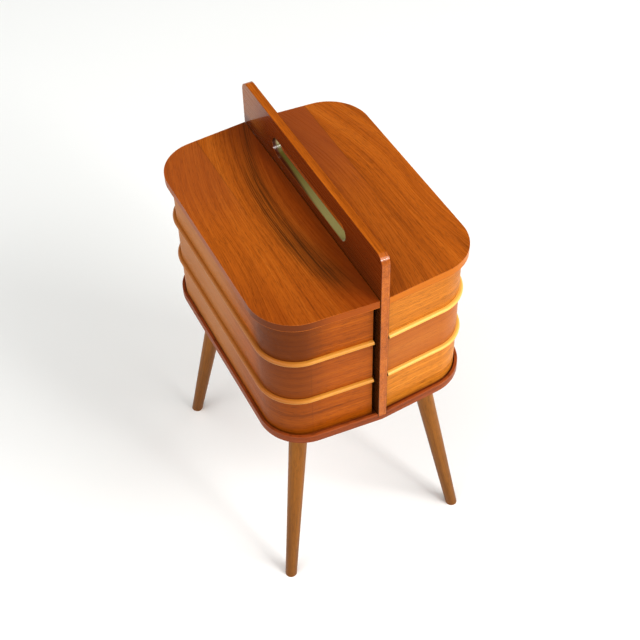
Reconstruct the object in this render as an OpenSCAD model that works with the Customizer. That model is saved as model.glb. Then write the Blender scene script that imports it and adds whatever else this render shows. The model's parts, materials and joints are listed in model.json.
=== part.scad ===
// Sewing box on four splayed legs: a centre board with a carrying slot, and on each side of it a
// hinged lid over two trays that swivel on an upright rod at the back and one fixed bottom tray.
// +X is the box's right, -Y its front, +Z up. The origin is on the floor under the middle of the board.
// All sizes are millimetres.

/* [Centre board] */
// Thickness of the board
board_t = 12; // [10:1:16]
// Length of the board, front to back
board_len = 408.4; // [380:0.2:440]
// Height of the board's top edge above the floor
board_top_z = 627; // [600:1:660]
// Radius of the board's two top corners
board_corner_r = 15; // [6:1:25]
// Length of the hand slot
slot_len = 218; // [120:1:260]
// Height of the hand slot
slot_h = 29; // [24:1:36]
// Height of the slot's middle above the floor
slot_z = 584; // [572:1:590]

/* [Lids] */
// Outer edge of each lid, from the middle of the board
lid_half_w = 156; // [130:1:180]
// Lid outline at the middle of the board, from the origin to the front or back point
lid_half_l = 203.5; // [190:0.5:215]
// How far the front and back edges fall back per millimetre outward
edge_slope = 0.08; // [0.02:0.01:0.14]
// Corner radius of the lids
lid_corner_r = 63.5; // [40:0.5:75]
// Height of the lids' top face above the floor
lid_top_z = 554; // [548:1:556]
// Thickness of a lid
lid_t = 12; // [10:1:13]
// Gap between the board and a lid
lid_gap = 0.8; // [0.6:0.1:1.2]

/* [Trays] */
// How far the tray walls stand in from the lid's edge
wall_inset = 9; // [6:0.5:12]
// Thickness of the bent outer wall
wall_t = 5; // [4:0.5:6]
// Thickness of the straight wall beside the board
inner_wall_t = 6; // [5:0.5:7]
// Thickness of a tray floor
floor_t = 4; // [3:0.5:6]
// Gap between the board and a tray
tray_gap = 5; // [5:0.5:7]
// Underside of the top trays above the floor
top_tray_z = 469; // [466:1:472]
// Height from the middle trays' underside to the top trays' underside
tray_pitch = 74.6; // [70:0.2:76]
// Clear space between stacked trays
stack_gap = 1; // [0.8:0.1:1.5]
// Clear space between the top trays and the lids
lid_clear = 0.7; // [0.5:0.1:1]

/* [Grip strips] */
// Height of the half-round strip
strip_h = 6.5; // [5:0.5:8]
// How far the strip stands out from the wall
strip_out = 5.2; // [4:0.2:5.6]
// Distance from the back end of the strip to the inner face of the tray
strip_back_stop = 12; // [12:1:20]

/* [Base] */
// Outer edge of the base, from the middle of the board
base_half_w = 152; // [150:0.5:160]
// Base outline at the middle of the board, from the origin to the front or back point
base_half_l = 204.2; // [200:0.2:210]
// Corner radius of the base
base_corner_r = 64; // [40:1:75]
// Underside of the base plate above the floor
base_z = 317; // [300:1:320]
// Thickness of the base plate
base_t = 8; // [8:1:12]
// Height of the lip above the base plate
lip_h = 4.7; // [3:0.1:8]
// Thickness of the lip
lip_t = 4.5; // [3:0.5:4.5]

/* [Legs] */
// Leg diameter at the top
leg_top_d = 28; // [24:1:32]
// Leg diameter at the floor
leg_foot_d = 17.5; // [14:0.5:20]
// Outward lean of a leg, both sideways and lengthways, in degrees
leg_splay = 9; // [5:0.5:12]
// Leg axis at the base's underside, sideways
leg_x = 93; // [80:1:105]
// Leg axis at the base's underside, lengthways
leg_y = 134.5; // [110:0.5:150]

/* [Swivel] */
// Diameter of the upright rod
rod_d = 8; // [7:0.5:9]
// Rod axis from the tray's inner face
rod_in = 13; // [13:0.5:15]
// Rod axis from the back wall's outer face
rod_back = 11; // [11:0.5:12]
// Radial running clearance between rod and tray block
rod_play = 0.05; // [0.02:0.01:0.1]

/* [Hidden] */

LEFT = -1;
RIGHT = 1;
BOTTOM = 0;
MIDDLE = 1;
TOP = 2;
eps = 0.01;
over = 2;

slope_deg = atan(edge_slope);
face_x = board_t / 2;
plate_top_z = base_z + base_t;

// Undersides and heights of the bottom, middle and top trays
middle_tray_z = top_tray_z - tray_pitch;
tray_z = [plate_top_z, middle_tray_z, top_tray_z];
tray_h = [
    middle_tray_z - stack_gap - plate_top_z,
    tray_pitch - stack_gap,
    lid_top_z - lid_t - lid_clear - top_tray_z
];

// Outline of the tray walls, outside and inside
wall_w = lid_half_w - wall_inset;
wall_l = lid_half_l - wall_inset;
wall_r = lid_corner_r - wall_inset;
inside_w = wall_w - wall_t;
inside_l = wall_l - wall_t / cos(slope_deg);
inside_r = wall_r - wall_t;
tray_x = face_x + tray_gap;
tray_end_r = 3;
strip_steps = 10;
turn_steps = 24;

// Rod axis and the block that turns on it
rod_x = tray_x + rod_in;
rod_y = wall_l - rod_x * edge_slope - rod_back;
block_x = rod_x + 12;
block_y = rod_y - 13;
block_r = 4;
top_block_drop = 8;
rod_top_gap = 0.3;
rod_top_z = tray_z[TOP] + tray_h[TOP] - top_block_drop + 3.2;
cap_d = 11;
cap_h = 2;
washer_d = 18;
washer_play = 0.05;

// Hidden lid hinges: hooks bent about the lid's turning line, which slide in curved pockets in the board
hinge_x = face_x + lid_gap / 2;
hinge_y = [-125, 125];
hook_w = 12;
hook_t = 1.6;
hook_r = 5;
hook_turn = 110;
hook_play = 0.2;
tongue_l = 18;
hook_screw_at = [[7, -3], [13, 3]];
hook_screw_d = 2.5;
hook_screw_head_d = 4.4;
hook_screw_l = 9;

// Fasteners
wood_screw_d = 3.5;
board_screw_d = 4;
board_screw_head_d = 8;
board_screw_y = [-165, -55, 55, 165];
tray_screw_at = [[35, -120], [35, 60], [110, -30]];
plate_size = 56;
plate_t = 2.5;
plate_hole = 21;
stud_d = 8;
stud_in_leg = 24;
stud_in_boss = 4;
// Leg top, measured down the leg's own axis from the base's underside
leg_seat = 6.4;

// Half outline of the box to the right of the plane x = from_x, with slanting front and back edges
// and round outer corners
module half_plan(half_w, half_l, corner_r, from_x) {
    cx = half_w - corner_r;
    cy = half_l - cx * edge_slope - corner_r / cos(slope_deg);
    tx = cx + corner_r * sin(slope_deg);
    ty = cy + corner_r * cos(slope_deg);
    end_y = half_l - from_x * edge_slope;
    polygon([
        [from_x, -end_y], [tx, -ty], [half_w, -cy], [half_w, cy], [tx, ty], [from_x, end_y]
    ]);
    for (s = [-1, 1])
        translate([cx, s * cy]) circle(r = corner_r, $fn = 96);
}

// Shows its children on the right, or mirrored on the left
module on_side(side) {
    if (side == LEFT)
        mirror([1, 0, 0]) children();
    else
        children();
}

// ---- Base ----
module base_plate() {
    color("sienna")
    difference() {
        translate([0, 0, base_z]) linear_extrude(base_t) {
            half_plan(base_half_w, base_half_l, base_corner_r, 0);
            mirror([1, 0]) half_plan(base_half_w, base_half_l, base_corner_r, 0);
        }
        for (y = board_screw_y)
            translate([0, y, base_z - eps]) board_screw_shape();
        for (side = [LEFT, RIGHT]) {
            on_side(side) {
                for (at = tray_screw_at)
                    translate([at[0], at[1], plate_top_z + floor_t]) tray_screw_shape();
                translate([rod_x, rod_y, base_z + over])
                    cylinder(d = rod_d, h = base_t, $fn = 48);
            }
            for (end = [-1, 1])
                leg_plate_holes(side, end) wood_screw_shape();
        }
    }
}

module lip(side) {
    color("sienna")
    on_side(side) translate([0, 0, plate_top_z]) linear_extrude(lip_h) difference() {
        half_plan(base_half_w, base_half_l, base_corner_r, face_x);
        half_plan(base_half_w - lip_t, base_half_l - lip_t / cos(slope_deg),
            base_corner_r - lip_t, 0);
    }
}

// ---- Centre board ----
module centre_board() {
    slot_r = slot_h / 2;
    slot_end = slot_len / 2 - slot_r;
    low_h = board_top_z - board_corner_r - plate_top_z;
    color("chocolate")
    difference() {
        translate([-board_t / 2, 0, 0]) rotate([90, 0, 90]) linear_extrude(board_t) difference() {
            union() {
                translate([-board_len / 2, plate_top_z]) square([board_len, low_h]);
                translate([-board_len / 2 + board_corner_r, plate_top_z])
                    square([board_len - 2 * board_corner_r, board_top_z - plate_top_z]);
                for (s = [-1, 1])
                    translate([s * (board_len / 2 - board_corner_r), board_top_z - board_corner_r])
                        circle(r = board_corner_r, $fn = 64);
            }
            translate([-slot_end, slot_z - slot_r]) square([2 * slot_end, slot_h]);
            for (s = [-1, 1])
                translate([s * slot_end, slot_z]) circle(r = slot_r, $fn = 64);
        }
        for (y = board_screw_y)
            translate([0, y, base_z - eps]) board_screw_shape();
        for (side = [LEFT, RIGHT])
            on_side(side) at_hinges() hook_arc(hook_play, 3);
    }
}

// ---- Fasteners, each drawn at the origin with its shank pointing up or along +X ----
module board_screw_shape() {
    cylinder(d1 = board_screw_head_d, d2 = board_screw_d, h = 3, $fn = 32);
    cylinder(d = board_screw_d, h = 40, $fn = 32);
}

module board_screws() {
    color("silver")
    for (y = board_screw_y)
        translate([0, y, base_z]) board_screw_shape();
}

module wood_screw_shape() {
    cylinder(d = wood_screw_d, h = 6, $fn = 24);
    translate([0, 0, -plate_t - 2]) cylinder(d = 7, h = 2, $fn = 32);
    translate([0, 0, -plate_t]) cylinder(d = wood_screw_d, h = plate_t + eps, $fn = 24);
}

module tray_screw_shape() {
    translate([0, 0, -floor_t - 5]) cylinder(d = wood_screw_d, h = floor_t + 5 + eps, $fn = 24);
    cylinder(d = 7, h = 2, $fn = 32);
}

module bottom_tray_screws() {
    color("silver")
    for (side = [LEFT, RIGHT])
        on_side(side) for (at = tray_screw_at)
            translate([at[0], at[1], plate_top_z + floor_t]) tray_screw_shape();
}

// ---- Legs ----
// Places its children in a leg's own frame: +Z points down the leg from the base's underside
module in_leg(side, end) {
    lean = atan(tan(leg_splay) * sqrt(2));
    translate([side * leg_x, end * leg_y, base_z])
        rotate([0, 0, atan2(end, side)])
            rotate([0, 180 - lean, 0])
                children();
}

module leg(side, end) {
    lean = atan(tan(leg_splay) * sqrt(2));
    leg_len = base_z / cos(lean);
    color("peru")
    intersection() {
        in_leg(side, end) difference() {
            translate([0, 0, leg_seat])
                cylinder(d1 = leg_top_d, d2 = leg_foot_d, h = leg_len + over - leg_seat, $fn = 64);
            cylinder(d = stud_d, h = leg_seat + stud_in_leg, $fn = 32);
        }
        translate([side * 120, end * 160, base_z / 2]) cube([160, 160, base_z], center = true);
    }
}

module leg_plate_holes(side, end) {
    translate([side * leg_x, end * leg_y, base_z])
        for (x = [-plate_hole, plate_hole])
            for (y = [-plate_hole, plate_hole])
                translate([x, y, 0]) children();
}

module leg_plate(side, end) {
    color("dimgray")
    difference() {
        union() {
            translate([side * leg_x, end * leg_y, base_z - plate_t / 2])
                cube([plate_size, plate_size, plate_t], center = true);
            intersection() {
                in_leg(side, end) translate([0, 0, -12])
                    cylinder(d = leg_top_d - 2, h = leg_seat + 12, $fn = 64);
                translate([side * leg_x, end * leg_y, base_z - 10])
                    cube([plate_size, plate_size, 20 - plate_t], center = true);
            }
        }
        in_leg(side, end) translate([0, 0, leg_seat - stud_in_boss])
            cylinder(d = stud_d, h = 20, $fn = 32);
        leg_plate_holes(side, end) translate([0, 0, -plate_t - over])
            cylinder(d = wood_screw_d, h = plate_t + 2 * over, $fn = 24);
    }
}

module leg_studs() {
    color("silver")
    for (side = [LEFT, RIGHT])
        for (end = [-1, 1])
            in_leg(side, end) translate([0, 0, leg_seat - stud_in_boss])
                cylinder(d = stud_d, h = stud_in_boss + stud_in_leg, $fn = 32);
}

module leg_plate_screws() {
    color("silver")
    for (side = [LEFT, RIGHT])
        for (end = [-1, 1])
            leg_plate_holes(side, end) wood_screw_shape();
}

// ---- Trays ----
// Bent outer wall, open towards the board
module tray_wall(level, side) {
    color("chocolate")
    on_side(side) translate([0, 0, tray_z[level]]) linear_extrude(tray_h[level]) difference() {
        half_plan(wall_w, wall_l, wall_r, tray_x);
        half_plan(inside_w, inside_l, inside_r, tray_x - over);
        tray_corner_cut();
    }
}

// Rounds the wall's back end, which turns past the board
module tray_corner_cut() {
    end_y = wall_l - tray_x * edge_slope;
    translate([tray_x, end_y])
        difference() {
            translate([-over, -tray_end_r]) square([tray_end_r + over, tray_end_r + over]);
            translate([tray_end_r, -tray_end_r]) circle(r = tray_end_r, $fn = 48);
        }
}

// Straight wall beside the board
module tray_inner_wall(level, side) {
    color("sienna")
    on_side(side) translate([0, 0, tray_z[level]]) linear_extrude(tray_h[level]) intersection() {
        half_plan(inside_w, inside_l, inside_r, tray_x);
        translate([tray_x, -inside_l]) square([inner_wall_t, 2 * inside_l]);
    }
}

// Inside of the tray in plan, between all four walls
module tray_inside() {
    half_plan(inside_w, inside_l, inside_r, tray_x + inner_wall_t);
}

// Corner block in plan, with one rounded corner
module block_plan() {
    intersection() {
        tray_inside();
        union() {
            translate([tray_x, block_y]) square([block_x - block_r - tray_x, 60]);
            translate([tray_x, block_y + block_r]) square([block_x - tray_x, 60]);
            translate([block_x - block_r, block_y + block_r]) circle(r = block_r, $fn = 48);
        }
    }
}

module tray_floor(level, side) {
    color("burlywood")
    on_side(side) difference() {
        translate([0, 0, tray_z[level]]) linear_extrude(floor_t) difference() {
            tray_inside();
            block_plan();
        }
        if (level == BOTTOM)
            for (at = tray_screw_at)
                translate([at[0], at[1], plate_top_z + floor_t]) tray_screw_shape();
    }
}

// Corner block: the rod is fast in the bottom one, and the other two turn on it
module tray_block(level, side) {
    block_h = tray_h[level] - (level == TOP ? top_block_drop : 0);
    play = level == BOTTOM ? 0 : rod_play;
    color("burlywood")
    on_side(side) difference() {
        translate([0, 0, tray_z[level]]) linear_extrude(block_h) block_plan();
        translate([rod_x, rod_y, tray_z[level] - over])
            cylinder(r = rod_d / 2 + play, h = tray_h[level] + 2 * over, $fn = 48);
    }
}

// Section of the grip strip, a half round on a short flat: distance from the wall, and height
function strip_section() =
    let (r = strip_h / 2, flat = strip_out - r)
    concat(
        [[0, 0]],
        [for (i = [0 : strip_steps])
            let (a = 180 * i / strip_steps - 90)
            [flat + r * cos(a), r + r * sin(a)]],
        [[0, strip_h]]
    );

// Route of the strip round the wall, from front to back: a point on the wall, then the outward direction
function strip_route() =
    let (
        cx = wall_w - wall_r,
        cy = wall_l - cx * edge_slope - wall_r / cos(slope_deg),
        turn = 90 - slope_deg,
        back_x = tray_x + strip_back_stop,
        square_end = 1 / cos(slope_deg)
    )
    concat(
        [[tray_x, tray_x * edge_slope - wall_l, 0, -square_end]],
        [for (s = [-1, 1]) for (i = [0 : turn_steps])
            let (a = turn * (s == -1 ? i / turn_steps - 1 : i / turn_steps))
            [cx + wall_r * cos(a), s * cy + wall_r * sin(a), cos(a), sin(a)]],
        [[back_x, wall_l - back_x * edge_slope, 0, square_end]]
    );

// Half-round grip strip along the foot of a swivelling tray's wall
module tray_strip(level, side) {
    section = strip_section();
    route = strip_route();
    n = len(section);
    last = (len(route) - 1) * n;
    points = [for (p = route) for (q = section)
        [p[0] + p[2] * q[0], p[1] + p[3] * q[0], tray_z[level] + q[1]]];
    skin = [for (k = [0 : len(route) - 2]) for (i = [0 : n - 1])
        [k * n + i, k * n + (i + 1) % n, (k + 1) * n + (i + 1) % n, (k + 1) * n + i]];
    front_end = [[for (i = [n - 1 : -1 : 0]) i]];
    back_end = [[for (i = [0 : n - 1]) last + i]];
    color("goldenrod")
    on_side(side) polyhedron(points, concat(skin, front_end, back_end));
}

// ---- Swivel rods ----
module pivot_rod(side) {
    foot_z = base_z + over;
    color("silver")
    on_side(side) translate([rod_x, rod_y, foot_z])
        cylinder(d = rod_d, h = rod_top_z - foot_z, $fn = 48);
}

module rod_cap(side) {
    low_z = tray_z[TOP] + tray_h[TOP] - top_block_drop + rod_top_gap;
    color("gold")
    on_side(side) translate([rod_x, rod_y, low_z]) difference() {
        cylinder(d = cap_d, h = rod_top_z - low_z + cap_h, $fn = 48);
        translate([0, 0, -over]) cylinder(d = rod_d, h = rod_top_z - low_z + over, $fn = 48);
    }
}

module rod_washers(side) {
    color("gold")
    on_side(side) for (level = [MIDDLE, TOP])
        translate([rod_x, rod_y, tray_z[level] - stack_gap]) difference() {
            cylinder(d = washer_d, h = stack_gap - washer_play, $fn = 48);
            translate([0, 0, -over])
                cylinder(r = rod_d / 2 + rod_play, h = stack_gap + 2 * over, $fn = 48);
        }
}

// ---- Lids ----
module lid(side) {
    color("chocolate")
    on_side(side) difference() {
        translate([0, 0, lid_top_z - lid_t]) linear_extrude(lid_t)
            half_plan(lid_half_w, lid_half_l, lid_corner_r, face_x + lid_gap);
        at_hinges() {
            hook_tongue();
            hook_screws();
        }
    }
}

// ---- Hinges ----
// Places its children at each hinge of the right lid, with the turning line along Y
module at_hinges() {
    for (y = hinge_y)
        translate([hinge_x, y, lid_top_z]) children();
}

// Round part of a hook, with play all round and some degrees more at its end
module hook_arc(play, more) {
    end_a = 270 - hook_turn - more;
    rotate([90, 0, 0]) linear_extrude(hook_w + 2 * play, center = true) intersection() {
        difference() {
            circle(r = hook_r + hook_t / 2 + play, $fn = 96);
            circle(r = hook_r - hook_t / 2 - play, $fn = 96);
        }
        polygon([[0, 0], [20 * cos(end_a), 20 * sin(end_a)], [-20, -20], [0, -20]]);
    }
}

// Flat part of a hook, inside the lid's edge
module hook_tongue() {
    translate([0, -hook_w / 2, -hook_r - hook_t / 2]) cube([tongue_l, hook_w, hook_t]);
}

module hook_screws() {
    for (at = hook_screw_at)
        translate([at[0], at[1], -lid_t]) {
            cylinder(d1 = hook_screw_head_d, d2 = hook_screw_d, h = 1.5, $fn = 32);
            cylinder(d = hook_screw_d, h = hook_screw_l, $fn = 24);
        }
}

module hinge_hooks(side) {
    color("gold")
    on_side(side) at_hinges() difference() {
        union() {
            hook_arc(0, 0);
            hook_tongue();
        }
        hook_screws();
    }
}

module hinge_screws(side) {
    color("gold")
    on_side(side) at_hinges() hook_screws();
}

base_plate();
lip(LEFT);  // lip_left
lip(RIGHT);  // lip_right
centre_board();
board_screws();
leg(LEFT, -1);  // leg_front_left
leg(RIGHT, -1);  // leg_front_right
leg(LEFT, 1);  // leg_back_left
leg(RIGHT, 1);  // leg_back_right
leg_plate(LEFT, -1);  // leg_plate_front_left
leg_plate(RIGHT, -1);  // leg_plate_front_right
leg_plate(LEFT, 1);  // leg_plate_back_left
leg_plate(RIGHT, 1);  // leg_plate_back_right
leg_studs();
leg_plate_screws();
tray_wall(BOTTOM, LEFT);  // bottom_tray_wall_left
tray_inner_wall(BOTTOM, LEFT);  // bottom_tray_inner_wall_left
tray_floor(BOTTOM, LEFT);  // bottom_tray_floor_left
tray_block(BOTTOM, LEFT);  // bottom_tray_block_left
tray_wall(BOTTOM, RIGHT);  // bottom_tray_wall_right
tray_inner_wall(BOTTOM, RIGHT);  // bottom_tray_inner_wall_right
tray_floor(BOTTOM, RIGHT);  // bottom_tray_floor_right
tray_block(BOTTOM, RIGHT);  // bottom_tray_block_right
bottom_tray_screws();
tray_wall(MIDDLE, LEFT);  // middle_tray_wall_left
tray_inner_wall(MIDDLE, LEFT);  // middle_tray_inner_wall_left
tray_floor(MIDDLE, LEFT);  // middle_tray_floor_left
tray_block(MIDDLE, LEFT);  // middle_tray_block_left
tray_strip(MIDDLE, LEFT);  // middle_tray_strip_left
tray_wall(MIDDLE, RIGHT);  // middle_tray_wall_right
tray_inner_wall(MIDDLE, RIGHT);  // middle_tray_inner_wall_right
tray_floor(MIDDLE, RIGHT);  // middle_tray_floor_right
tray_block(MIDDLE, RIGHT);  // middle_tray_block_right
tray_strip(MIDDLE, RIGHT);  // middle_tray_strip_right
tray_wall(TOP, LEFT);  // top_tray_wall_left
tray_inner_wall(TOP, LEFT);  // top_tray_inner_wall_left
tray_floor(TOP, LEFT);  // top_tray_floor_left
tray_block(TOP, LEFT);  // top_tray_block_left
tray_strip(TOP, LEFT);  // top_tray_strip_left
tray_wall(TOP, RIGHT);  // top_tray_wall_right
tray_inner_wall(TOP, RIGHT);  // top_tray_inner_wall_right
tray_floor(TOP, RIGHT);  // top_tray_floor_right
tray_block(TOP, RIGHT);  // top_tray_block_right
tray_strip(TOP, RIGHT);  // top_tray_strip_right
pivot_rod(LEFT);  // pivot_rod_left
pivot_rod(RIGHT);  // pivot_rod_right
rod_cap(LEFT);  // rod_cap_left
rod_cap(RIGHT);  // rod_cap_right
rod_washers(LEFT);  // rod_washers_left
rod_washers(RIGHT);  // rod_washers_right
lid(LEFT);  // lid_left
lid(RIGHT);  // lid_right
hinge_hooks(LEFT);  // hinge_hooks_left
hinge_hooks(RIGHT);  // hinge_hooks_right
hinge_screws(LEFT);  // hinge_screws_left
hinge_screws(RIGHT);  // hinge_screws_right
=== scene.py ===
# Looks of the sewing box: lacquered teak, light beech strips, brass and steel fittings, and a studio.
# Materials work from the pieces' rest coordinates in metres: +X right, -Y front, +Z up.
import json
import math

import bpy
from mathutils import Matrix, Vector


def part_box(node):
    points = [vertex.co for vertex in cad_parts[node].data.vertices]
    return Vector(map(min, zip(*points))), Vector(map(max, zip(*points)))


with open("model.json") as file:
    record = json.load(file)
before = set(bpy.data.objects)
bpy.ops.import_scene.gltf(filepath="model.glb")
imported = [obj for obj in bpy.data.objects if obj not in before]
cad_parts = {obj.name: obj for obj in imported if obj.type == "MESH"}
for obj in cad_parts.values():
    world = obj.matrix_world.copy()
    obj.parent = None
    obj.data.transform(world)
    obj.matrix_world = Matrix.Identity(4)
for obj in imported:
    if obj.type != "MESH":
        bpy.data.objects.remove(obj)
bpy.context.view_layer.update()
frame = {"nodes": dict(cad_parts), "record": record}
nodes = frame["nodes"]

# ---- Places read from the frame, in metres ----
LID_LOW, LID_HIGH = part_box("lid_right")
BOARD_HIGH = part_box("centre_board")[1]
LID_LEAF_JOINT = LID_HIGH.x * 0.55
MIDDLE_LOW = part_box("middle_tray_wall_left")[0].z
TOP_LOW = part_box("top_tray_wall_left")[0].z
BOARD_HALF_T = BOARD_HIGH.x

# How far to the side the walls' front turns into the corners
WALL_FRONT_SEAM = 0.0975

# How far the legs move outward per metre down
LEG_LEAN = math.tan(math.radians(9))

# The hand slot's half length and the heights of its lower and upper edge
SLOT_HALF_LENGTH = 0.1095
SLOT_LOW_Z = BOARD_HIGH.z - 0.0580
SLOT_HIGH_Z = BOARD_HIGH.z - 0.0280


class Graph:
    """Builds one node material. Each call adds a node and gives back its output socket."""

    def __init__(self, name):
        self.material = bpy.data.materials.new(name)
        self.material.use_nodes = True
        self.tree = self.material.node_tree
        self.shader = self.tree.nodes["Principled BSDF"]
        self.coords = self.add("ShaderNodeTexCoord").outputs["Object"]

    def add(self, kind, **settings):
        node = self.tree.nodes.new(kind)
        for key, value in settings.items():
            setattr(node, key, value)
        return node

    def put(self, socket, value):
        if isinstance(value, bpy.types.NodeSocket):
            self.tree.links.new(value, socket)
        else:
            socket.default_value = value

    def math(self, operation, a, b=0.0):
        node = self.add("ShaderNodeMath", operation=operation)
        self.put(node.inputs[0], a)
        self.put(node.inputs[1], b)
        return node.outputs[0]

    def plus(self, a, b):
        return self.math("ADD", a, b)

    def minus(self, a, b):
        return self.math("SUBTRACT", a, b)

    def times(self, *factors):
        product = factors[0]
        for factor in factors[1:]:
            product = self.math("MULTIPLY", product, factor)
        return product

    def size(self, value):
        return self.math("ABSOLUTE", value)

    def vector(self, operation, a, b=(0, 0, 0)):
        node = self.add("ShaderNodeVectorMath", operation=operation)
        self.put(node.inputs[0], a)
        self.put(node.inputs[1], b)
        return node.outputs["Value" if operation == "DOT_PRODUCT" else "Vector"]

    def scaled(self, x, y, z):
        return self.vector("MULTIPLY", self.coords, (x, y, z))

    def split(self, vector):
        node = self.add("ShaderNodeSeparateXYZ")
        self.put(node.inputs[0], vector)
        return node.outputs[0], node.outputs[1], node.outputs[2]

    def join(self, x, y, z):
        node = self.add("ShaderNodeCombineXYZ")
        for socket, value in zip(node.inputs, (x, y, z)):
            self.put(socket, value)
        return node.outputs[0]

    def noise(self, vector, detail):
        node = self.add("ShaderNodeTexNoise")
        self.put(node.inputs["Vector"], vector)
        node.inputs["Scale"].default_value = 1.0
        node.inputs["Detail"].default_value = detail
        return node.outputs["Fac"]

    def stretch(self, value, low, high, out_low=0.0, out_high=1.0, smooth=True):
        """Goes from out_low at low to out_high at high, and stays level past both."""
        node = self.add("ShaderNodeMapRange", clamp=True)
        node.interpolation_type = "SMOOTHSTEP" if smooth else "LINEAR"
        for socket, number in zip(node.inputs, (value, low, high, out_low, out_high)):
            self.put(socket, number)
        return node.outputs[0]

    def mix(self, factor, a, b):
        node = self.add("ShaderNodeMix", data_type="RGBA")
        self.put(node.inputs[0], factor)
        self.put(node.inputs[6], a)
        self.put(node.inputs[7], b)
        return node.outputs[2]

    def ramp(self, value, stops):
        node = self.add("ShaderNodeValToRGB")
        elements = node.color_ramp.elements
        while len(elements) < len(stops):
            elements.new(0.5)
        for element, (place, colour) in zip(elements, stops):
            element.position = place
            element.color = colour
        self.put(node.inputs[0], value)
        return node.outputs[0]

    def bump(self, height, distance, rounding=None):
        """Relief of this height, over edges that look rounded by the radius in rounding."""
        node = self.add("ShaderNodeBump")
        if rounding is not None:
            soft = self.add("ShaderNodeBevel", samples=6)
            self.put(soft.inputs["Radius"], rounding)
            self.put(node.inputs["Normal"], soft.outputs[0])
        node.inputs["Strength"].default_value = 1.0
        node.inputs["Distance"].default_value = distance
        self.put(node.inputs["Height"], height)
        self.put(self.shader.inputs["Normal"], node.outputs[0])

    def edges(self, radius):
        """0 on flat stretches, rising to 1 at an arris."""
        rounded = self.add("ShaderNodeBevel", samples=4)
        rounded.inputs["Radius"].default_value = radius
        flat = self.add("ShaderNodeNewGeometry").outputs["Normal"]
        match = self.vector("DOT_PRODUCT", rounded.outputs[0], flat)
        return self.stretch(match, 0.99, 0.8)


def colour(red, green, blue):
    """A colour picked as 0-255 screen values, in the linear values that shaders use."""
    def linear(value):
        value /= 255
        return value / 12.92 if value <= 0.04045 else ((value + 0.055) / 1.055) ** 2.4
    return (linear(red), linear(green), linear(blue), 1.0)


def scale_colour(tone, factor):
    return tuple(min(1.0, channel * factor) for channel in tone[:3]) + (1.0,)


def wood(name, tones, across, along=3.0, warp=0.004, streaks=0.5, pores=0.35, roughness=0.36,
         specular=0.35, coat=0.0, leaf=None, lean=0.0, bend=None, wear=0.25, rim=None,
         smooth_below=None):
    """Wood with its grain square to the axes named in across.

    tones are the dark, middle and light colour of the figure. leaf is a function that changes the
    colour by place. lean follows splayed legs. bend is a function that moves the grain sideways.
    rim is a function that gives the radius of rounded edges by place. Below the height in
    smooth_below the surface has no relief.
    """
    g = Graph(name)
    place = g.coords
    x, y, z = g.split(place)
    if lean:
        drop = g.times(z, lean)
        place = g.join(g.plus(g.size(x), drop), g.plus(g.size(y), drop), z)
    if bend:
        place = bend(g, x, y, z)
    sway = g.minus(g.noise(g.vector("MULTIPLY", place, (6, 6, 6)), 1.0), 0.5)
    shift = g.times(sway, 2 * warp)
    place = g.vector("ADD", place, g.join(*(shift if axis in across else 0.0 for axis in "xyz")))

    def grain(fine, length, detail):
        scale = tuple(fine if axis in across else length for axis in "xyz")
        return g.noise(g.vector("MULTIPLY", place, scale), detail)

    broad = grain(28, along * 0.6, 2.0)
    bands = grain(150, along, 3.0)
    lines = grain(760, along * 2.5, 2.0)
    hairs = grain(1700, along * 25, 2.0)
    figure = g.plus(g.plus(g.times(broad, 0.34), g.times(bands, 0.36)), g.times(lines, 0.30))
    spread = 0.28 - 0.15 * streaks
    figure = g.stretch(figure, 0.5 - spread, 0.5 + spread, smooth=False)
    dark, middle, light = tones
    shade = g.ramp(figure, [(0.0, dark), (0.5, middle), (1.0, light)])
    pore = g.stretch(hairs, 0.47, 0.34)
    shade = g.mix(g.times(pore, pores), shade, scale_colour(dark, 0.45))
    if leaf:
        shade = leaf(g, shade, x, y, z, bands, lines)
    if wear:
        rub = g.times(g.edges(0.0012), g.stretch(broad, 0.35, 0.6, 0.3, 1.0), wear)
        shade = g.mix(rub, shade, scale_colour(light, 1.6))
    g.put(g.shader.inputs["Base Color"], shade)
    gloss = g.stretch(lines, 0.3, 0.7, roughness - 0.05, roughness + 0.06)
    relief = g.minus(g.times(lines, 0.5), g.times(pore, 0.8))
    if smooth_below:
        top = g.stretch(z, smooth_below - 0.0006, smooth_below)
        relief = g.times(relief, top)
        gloss = g.stretch(top, 0.0, 1.0, roughness, gloss, smooth=False)
    g.put(g.shader.inputs["Roughness"], gloss)
    g.shader.inputs["IOR"].default_value = 1.5
    g.shader.inputs["Specular IOR Level"].default_value = specular
    g.shader.inputs["Coat Weight"].default_value = coat
    g.shader.inputs["Coat Roughness"].default_value = 0.06
    g.bump(relief, 0.00004, rim(g, y, z) if rim else None)
    return g.material


# ---- Teak ----
TEAK_DARK = colour(112, 52, 14)
LID_TONES = (colour(124, 62, 15), colour(172, 93, 24), colour(198, 116, 37))
# The walls come as two copies of one teak: the left copy darker as painted shade, the right copy lighter as
# painted light, as from a lamp on the right.
WALL_TONES_LEFT_SHADED = (colour(106, 48, 4), colour(160, 82, 10), colour(188, 106, 20))
WALL_TONES_RIGHT_LIT = (colour(134, 76, 20), colour(194, 121, 38), colour(222, 152, 60))
# Lid edge bands: darker on the left as painted shade, lighter on the right as painted light.
EDGE_BANDS_SHADED_AND_LIT = {-1: colour(164, 82, 4), 1: colour(204, 120, 18)}
BOARD_TONES = (colour(132, 66, 12), colour(174, 94, 20), colour(202, 120, 32))
# Board faces: partly the veneer's own dark tone and partly painted shade, darkest down by the lids.
BOARD_FACE = colour(82, 26, 2)
BOARD_FACE_TOP = colour(110, 42, 6)
# Painted sheen on the back of the board's faces above the lid, partly lighter veneer.
BOARD_FACE_BACK_SHEEN = colour(168, 104, 34)
# Painted shade inside the hand slot.
SLOT_SHADE = colour(70, 26, 6)
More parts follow.
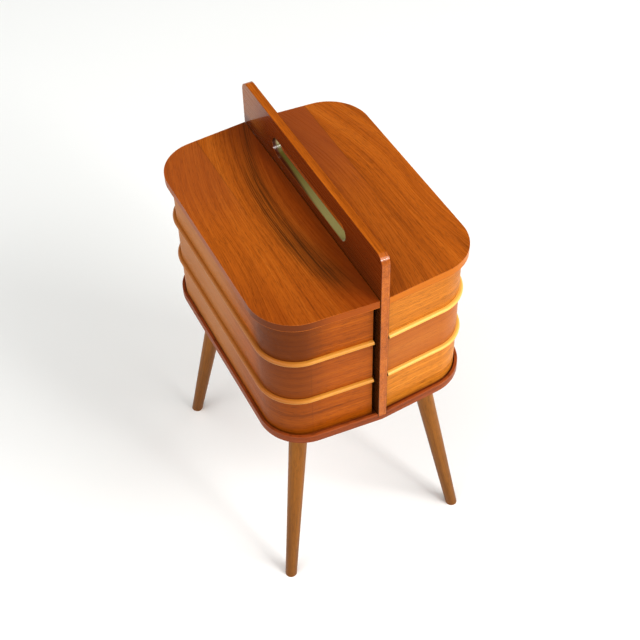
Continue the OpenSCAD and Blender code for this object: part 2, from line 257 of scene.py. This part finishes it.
# The slot's khaki sealer, lighter to the front and darker to the back, and a painted highlight on its back
# end.
SEAL_AND_END_HIGHLIGHT = {"front": colour(134, 126, 80), "back": colour(92, 84, 34), "end": colour(168, 160, 122)}
BASE_TONES = (colour(102, 46, 18), colour(142, 70, 28), colour(172, 96, 44))
RED_LEAF = colour(148, 76, 38)
RED_TRAY = colour(160, 86, 40)
# Painted sheen on the left side walls.
PAINTED_SIDE_SHEEN = colour(186, 128, 70)
STREAK = colour(84, 46, 14)
# Painted shade on the board's faces below the lids, in the narrow gap by the trays.
GAP_SHADE = colour(52, 22, 8)
# Painted shade on the lids along the board.
NEAR_BOARD = colour(118, 42, 2)
# Darker veneer and painted shade for the front left corner.
CORNER_VENEER_AND_SHADE = colour(92, 42, 6)


def corner_veneer_and_shade(g, x, y, strength):
    """Rises to strength round the front left corner of the lid and walls: darker veneer, with painted shade
    where the corner turns away from the light.
    """
    return g.times(g.stretch(y, -0.105, -0.145), g.stretch(x, -0.060, -0.110, 0.0, strength))


def edge_band(g, side, x, y, z):
    """The band glued round a lid's edge, with fine level lines, darker on the left as painted shade and
    lighter on the right as painted light.
    """
    rows = g.times(g.noise(g.scaled(9, 9, 900), 2.0), 0.5)
    band = g.mix(rows, EDGE_BANDS_SHADED_AND_LIT[side], TEAK_DARK)
    if side < 0:
        # Darker veneer and painted shade round the front left corner.
        band = g.mix(corner_veneer_and_shade(g, x, y, 0.75), band, CORNER_VENEER_AND_SHADE)
    return band


def dark_streak(g, shade, out, y, bands, lines):
    """A curved group of dark lines in the left lid's veneer, over a soft dark ground."""
    lag = g.plus(y, 0.01)
    middle = g.minus(0.056, g.times(lag, lag, 1.15))
    half_width = g.stretch(y, 0.16, -0.12, 0.016, 0.026)
    away = g.math("DIVIDE", g.size(g.minus(out, middle)), half_width)
    core = g.times(g.stretch(away, 1.0, 0.1), g.stretch(y, -0.185, -0.12))
    marks = g.stretch(g.plus(g.times(bands, 0.4), g.times(lines, 1.6)), 1.04, 0.86)
    shade = g.mix(g.times(core, marks, 0.75), shade, STREAK)
    return g.mix(g.times(core, g.stretch(y, 0.0, -0.07, 0.2, 0.42)), shade, STREAK)


def lid_figure(side):
    """Veneer of one lid: a joint between two leaves, one redder, and on the left a dark streak. Painted
    shade darkens the lid along the board, most on the left lid.
    """
    def leaf(g, shade, x, y, z, bands, lines):
        plain = shade
        out = g.times(x, side)
        outer_leaf = g.stretch(out, LID_LEAF_JOINT - 0.0004, LID_LEAF_JOINT + 0.0004)
        if side < 0:
            redness = g.times(outer_leaf, g.stretch(y, -0.02, 0.12))
        else:
            redness = g.times(g.minus(1.0, outer_leaf), g.stretch(y, -0.05, 0.12, 0.08, 1.6))
        shade = g.mix(g.times(redness, 0.45), shade, RED_LEAF)
        if side < 0:
            # The left lid also darkens towards the front, in the tone of the painted shade by the board.
            shade = g.mix(g.stretch(y, -0.06, -0.19, 0.0, 0.3), shade, NEAR_BOARD)
        joint = g.stretch(g.size(g.minus(out, LID_LEAF_JOINT)), 0.0007, 0.0002, 0.0, 0.35)
        shade = g.mix(joint, shade, STREAK)
        # Painted shade along the board, strongest on the left lid.
        near = g.stretch(out, 0.072, 0.006, 0.0, 0.66 if side < 0 else 0.15)
        shade = g.mix(near, shade, NEAR_BOARD)
        under = g.stretch(z, LID_LOW.z + 0.0010, LID_LOW.z + 0.0004)
        rim = g.times(g.stretch(z, LID_HIGH.z - 0.0004, LID_HIGH.z - 0.0010), g.minus(1.0, under))
        shade = g.mix(rim, shade, edge_band(g, side, x, y, z))
        if side < 0:
            shade = dark_streak(g, shade, out, y, bands, lines)
        return g.mix(under, shade, plain)
    return leaf


def lid_bend(side):
    """Grain of a lid, which bows gently and fans out towards the front."""
    def bend(g, x, y, z):
        fan = g.minus(1.0, g.times(g.stretch(y, -0.02, -0.26), 0.35))
        bow = g.times(y, y, 0.9 * side)
        return g.join(g.times(g.plus(x, bow), fan), y, z)
    return bend


def board_figure(g, shade, x, y, z, bands, lines):
    """Face tone that is partly dark veneer and partly painted shade, with painted shade in the hand slot and
    below the lids, a painted sheen at the back, a khaki-sealed slot floor with a painted highlight at its
    back end, and a fine glue line up the board's edges.
    """
    off = g.size(x)
    glue = g.stretch(g.size(g.minus(x, BOARD_HALF_T / 2)), 0.0005, 0.0002, 0.0, 0.35)
    shade = g.mix(glue, shade, TEAK_DARK)
    # The faces darken down towards the lids: partly the veneer's own dark tone, partly painted shade where
    # the lids meet the board.
    tone = g.mix(g.stretch(z, LID_HIGH.z, BOARD_HIGH.z - 0.01), BOARD_FACE, BOARD_FACE_TOP)
    # Painted sheen on the back of the faces above the lid, partly lighter veneer.
    back_sheen = g.times(g.stretch(y, 0.12, 0.18, 0.0, 0.6), g.stretch(z, LID_HIGH.z + 0.008, LID_HIGH.z + 0.024))
    tone = g.mix(back_sheen, tone, BOARD_FACE_BACK_SHEEN)
    # Below the lids the faces go nearly black: painted shade in the gap by the trays.
    tone = g.mix(g.stretch(z, LID_LOW.z + 0.002, LID_LOW.z - 0.006), tone, GAP_SHADE)
    face = g.stretch(off, BOARD_HALF_T - 0.0008, BOARD_HALF_T - 0.0001, 0.0, 0.85)
    shade = g.mix(face, shade, tone)
    # The inside of the hand slot: painted shade in the recess.
    inside = g.times(g.stretch(off, BOARD_HALF_T - 0.0001, BOARD_HALF_T - 0.0010),
                     g.stretch(g.size(y), SLOT_HALF_LENGTH + 0.0006, SLOT_HALF_LENGTH + 0.0002),
                     g.stretch(z, SLOT_LOW_Z - 0.0006, SLOT_LOW_Z - 0.0002),
                     g.stretch(z, SLOT_HIGH_Z - 0.002, SLOT_HIGH_Z - 0.006))
    shade = g.mix(inside, shade, SLOT_SHADE)
    # Khaki sealer, lighter to the front and darker to the back, with a painted highlight on the slot's back
    # end.
    seal = g.mix(g.stretch(y, -0.06, 0.095), SEAL_AND_END_HIGHLIGHT["front"], SEAL_AND_END_HIGHLIGHT["back"])
    seal = g.mix(g.stretch(y, 0.1068, 0.1088), seal, SEAL_AND_END_HIGHLIGHT["end"])
    # The sealer shows only on the right part of the slot's floor, more of it towards the front; the rest
    # keeps the painted shade.
    within = g.minus(x, g.stretch(y, -0.06, 0.100, -0.0085, -0.0025))
    return g.mix(g.times(inside, g.stretch(within, 0.0, 0.0050)), shade, seal)


def slot_rounding(g, y, z):
    """Rounding of the board's edges, wider round the hand slot."""
    near = g.times(g.stretch(g.size(y), SLOT_HALF_LENGTH + 0.006, SLOT_HALF_LENGTH + 0.004),
                   g.stretch(z, SLOT_LOW_Z - 0.006, SLOT_LOW_Z - 0.004),
                   g.stretch(z, SLOT_HIGH_Z + 0.006, SLOT_HIGH_Z + 0.004))
    return g.stretch(near, 0.0, 1.0, 0.0004, 0.0022, smooth=False)


def wall_figure(g, shade, x, y, z, bands, lines):
    """Redder middle trays, an upright veneer joint at the front, a front left corner of darker veneer with
    painted shade, and a painted sheen on the left side.
    """
    middle_tray = g.times(g.stretch(z, MIDDLE_LOW - 0.0004, MIDDLE_LOW),
                          g.stretch(z, TOP_LOW, TOP_LOW - 0.0004))
    redness = g.times(middle_tray, g.stretch(x, -0.001, 0.001, 0.18, 0.62))
    shade = g.mix(redness, shade, RED_TRAY)
    seam = g.stretch(g.size(g.minus(g.size(x), WALL_FRONT_SEAM)), 0.0006, 0.0002, 0.0, 0.35)
    left = g.math("LESS_THAN", x, 0.0)
    below_top_tray = g.math("LESS_THAN", z, TOP_LOW)
    seam = g.times(seam, left, below_top_tray, g.stretch(y, -0.150, -0.152))
    shade = g.mix(seam, shade, TEAK_DARK)
    # Painted shade over darker veneer in the front left corner, strongest on the top tray.
    lower = g.stretch(z, MIDDLE_LOW - 0.0005, MIDDLE_LOW, 0.30, 0.55)
    level = g.stretch(z, TOP_LOW - 0.0005, TOP_LOW, lower, 0.78)
    shade = g.mix(corner_veneer_and_shade(g, x, y, level), shade, CORNER_VENEER_AND_SHADE)
    # Painted sheen on the left side, stronger towards the back.
    pale = g.times(g.stretch(x, -0.138, -0.146, 0.0, 0.6), g.stretch(y, -0.13, 0.02))
    return g.mix(pale, shade, PAINTED_SIDE_SHEEN)


def leg_figure(g, shade, x, y, z, bands, lines):
    """The legs darken towards the floor."""
    return g.mix(g.stretch(z, 0.24, 0.02, 0.0, 0.35), shade, colour(92, 56, 20))


def strip_figure(g, shade, x, y, z, bands, lines):
    """The strips have painted shade on top along the left side and a little at the front left,
    and a painted highlight on top on the right."""
    strip_z = g.stretch(z, TOP_LOW - 0.01, TOP_LOW - 0.005, MIDDLE_LOW, TOP_LOW)
    lift = g.minus(z, strip_z)
    # Painted shade on top of the strips along the left side.
    shaded_top = g.times(g.stretch(lift, 0.0018, 0.0034), g.stretch(x, -0.080, -0.140), 0.85)
    shade = g.mix(shaded_top, shade, colour(158, 92, 34))
    # A little painted shade at the front left.
    front = g.times(g.stretch(x, 0.0, -0.01, 0.0, 0.35), g.stretch(y, -0.12, -0.15))
    shade = g.mix(front, shade, colour(176, 108, 36))
    # Painted highlight on top of the strips on the right.
    highlight_top = g.times(g.stretch(x, 0.0, 0.01), g.stretch(lift, 0.0020, 0.0040, 0.0, 0.7))
    return g.mix(highlight_top, shade, colour(240, 190, 100))


def metal(name, tone, roughness, metallic=1.0):
    """Brushed metal, or paint where metallic is 0, with dull smudges and bright edges."""
    g = Graph(name)
    scratch = g.noise(g.scaled(900, 900, 2600), 3.0)
    smudge = g.noise(g.scaled(120, 120, 120), 2.0)
    shade = g.mix(g.stretch(smudge, 0.35, 0.75, 0.0, 0.7), tone, scale_colour(tone, 0.62))
    shade = g.mix(g.times(g.edges(0.0004), 0.4), shade, scale_colour(tone, 1.3))
    g.put(g.shader.inputs["Base Color"], shade)
    g.put(g.shader.inputs["Roughness"], g.stretch(scratch, 0.3, 0.7, roughness - 0.06, roughness + 0.12))
    g.shader.inputs["Metallic"].default_value = metallic
    g.bump(scratch, 0.00001)
    return g.material


teak_lid = {}
teak_wall = {}
for side, side_name, wall_tones in ((-1, "left", WALL_TONES_LEFT_SHADED), (1, "right", WALL_TONES_RIGHT_LIT)):
    teak_lid[side_name] = wood("teak_lid_" + side_name, LID_TONES, "x", bend=lid_bend(side),
                               leaf=lid_figure(side), streaks=0.36, pores=0.42, roughness=0.30,
                               specular=0.15, smooth_below=LID_HIGH.z - 0.0003)
    # Walls: the copy with painted shade on the left, the copy with painted light on the right.
    teak_wall[side_name] = wood("teak_wall_" + side_name, wall_tones, "z", leaf=wall_figure,
                                specular=0.12, pores=0.5)
teak_board = wood("teak_board", BOARD_TONES, "xz", leaf=board_figure, roughness=0.28, specular=0.08,
                  coat=0.48, rim=slot_rounding)
teak_base = wood("teak_base", BASE_TONES, "z", specular=0.15)

# ---- Beech and metal ----
honey_beech = wood("honey_beech", (colour(182, 122, 40), colour(212, 156, 64), colour(232, 184, 92)),
                   "z", leaf=strip_figure, streaks=0.2, pores=0.12, roughness=0.32, wear=0.1)
leg_beech = wood("leg_beech", (colour(100, 58, 16), colour(138, 86, 26), colour(162, 106, 38)), "xy",
                 lean=LEG_LEAN, streaks=0.4, roughness=0.38, specular=0.2, leaf=leg_figure)
tray_beech = wood("tray_beech", (colour(170, 122, 70), colour(204, 158, 104), colour(224, 184, 134)),
                  "z", streaks=0.3, pores=0.2, roughness=0.5)
brass = metal("brass", colour(186, 146, 74), 0.34)
bright_steel = metal("bright_steel", colour(200, 200, 198), 0.28)
zinc_steel = metal("zinc_steel", colour(188, 188, 180), 0.42)
black_steel = metal("black_steel", colour(30, 30, 31), 0.45, metallic=0.0)

SLOT_LOOKS = {
    "teak_board": teak_board, "teak_base": teak_base, "honey_beech": honey_beech, "leg_beech": leg_beech,
    "tray_beech": tray_beech, "brass": brass, "bright_steel": bright_steel, "zinc_steel": zinc_steel,
    "black_steel": black_steel,
}
# Width of the eased edges of each kind of wood; the small pieces keep square edges
BEVELS = {"teak_lid": 0.0012, "teak_wall": 0.0006, "teak_board": 0.0012, "teak_base": 0.0008,
          "leg_beech": 0.0012, "tray_beech": 0.0006}


def dress(name, look, bevel):
    """Gives a CAD node its material, and eased edges where it has a bevel width."""
    piece = nodes[name]
    piece.data.materials.clear()
    piece.data.materials.append(look)
    for polygon in piece.data.polygons:
        polygon.material_index = 0
    if bevel:
        weld = piece.modifiers.new("weld", "WELD")
        weld.merge_threshold = 0.00002
        ease = piece.modifiers.new("ease", "BEVEL")
        ease.width = bevel
        ease.segments = 3
        ease.limit_method = "ANGLE"
        ease.angle_limit = math.radians(35)
        ease.harden_normals = False
        ease.use_clamp_overlap = True
        even = piece.modifiers.new("even", "WEIGHTED_NORMAL")
        even.keep_sharp = False


for row in frame["record"]["subparts"]:
    name, slot = row["node"], row["material_slot"]
    side = "left" if name.endswith("left") else "right"
    if slot == "teak_lid":
        look = teak_lid[side]
    elif slot == "teak_wall":
        look = teak_wall[side]
    else:
        look = SLOT_LOOKS[slot]
    dress(name, look, BEVELS.get(slot, 0.0))


# ---- Studio ----
def floor():
    """A matt pale floor, 14 m wide."""
    bpy.ops.mesh.primitive_plane_add(size=14, location=(0, 0, 0))
    plane = bpy.context.object
    plane.name = "studio_floor"
    g = Graph("studio_floor")
    tone = g.noise(g.scaled(0.7, 0.7, 0.7), 1.0)
    g.put(g.shader.inputs["Base Color"], g.mix(tone, colour(238, 239, 236), colour(245, 245, 244)))
    g.shader.inputs["Roughness"].default_value = 0.9
    g.shader.inputs["Specular IOR Level"].default_value = 0.1
    plane.data.materials.append(g.material)


def softbox(name, azimuth, elevation, distance, size, power):
    """Square area light aimed at the box: azimuth 0 is in front, positive to the right."""
    a, e = math.radians(azimuth), math.radians(elevation)
    aim = Vector((0, 0, 0.42))
    way = Vector((math.sin(a) * math.cos(e), -math.cos(a) * math.cos(e), math.sin(e)))
    data = bpy.data.lights.new(name, "AREA")
    data.shape = "SQUARE"
    data.size = size
    data.energy = power
    lamp = bpy.data.objects.new(name, data)
    bpy.context.scene.collection.objects.link(lamp)
    lamp.location = aim + way * distance
    lamp.rotation_euler = (-way).to_track_quat("-Z", "Y").to_euler()


def studio_walls():
    """Bright surroundings with one dim part, high up behind the box."""
    dim_part = (0.30, 0.61, 0.73)
    world = bpy.data.worlds.new("studio")
    world.use_nodes = True
    tree = world.node_tree
    tree.nodes["Background"].inputs[0].default_value = (1.0, 1.0, 1.0, 1.0)
    toward = tree.nodes.new("ShaderNodeVectorMath")
    toward.operation = "DOT_PRODUCT"
    tree.links.new(tree.nodes.new("ShaderNodeTexCoord").outputs["Generated"], toward.inputs[0])
    toward.inputs[1].default_value = dim_part
    shade = tree.nodes.new("ShaderNodeMapRange")
    shade.interpolation_type = "SMOOTHSTEP"
    for socket, number in zip(list(shade.inputs)[1:5], (0.78, 0.94, 1.0, 0.06)):
        socket.default_value = number
    tree.links.new(toward.outputs["Value"], shade.inputs[0])
    tree.links.new(shade.outputs[0], tree.nodes["Background"].inputs[1])
    bpy.context.scene.world = world


floor()
softbox("key", 33, 35, 3.0, 1.6, 62)
softbox("window", 20, 31, 3.0, 0.35, 9)
softbox("left", -80, 50, 3.2, 1.8, 22)
studio_walls()
bpy.context.scene.view_settings.view_transform = "Standard"
bpy.context.scene.view_settings.look = "None"
bpy.context.scene.view_settings.gamma = 0.85


# ---- Camera, at the photograph's viewing angle ----
def camera():
    """Camera in front of the box, up to its left, looking down at it."""
    place = Vector((-0.5401, -1.1366, 1.6735))
    yaw = math.radians(25.71)
    pitch = math.radians(-47.01)
    roll = math.radians(-1.62)
    ahead = Vector((math.sin(yaw) * math.cos(pitch), math.cos(yaw) * math.cos(pitch), math.sin(pitch)))
    level = ahead.cross(Vector((0, 0, 1))).normalized()
    upright = level.cross(ahead)
    right = level * math.cos(roll) + upright * math.sin(roll)
    up = upright * math.cos(roll) - level * math.sin(roll)
    data = bpy.data.cameras.new("camera")
    data.sensor_width = 36
    data.lens = 70.17
    view = bpy.data.objects.new("camera", data)
    bpy.context.scene.collection.objects.link(view)
    turn = Matrix((right, up, -ahead)).transposed().to_4x4()
    view.matrix_world = Matrix.Translation(place) @ turn
    bpy.context.scene.camera = view


camera()
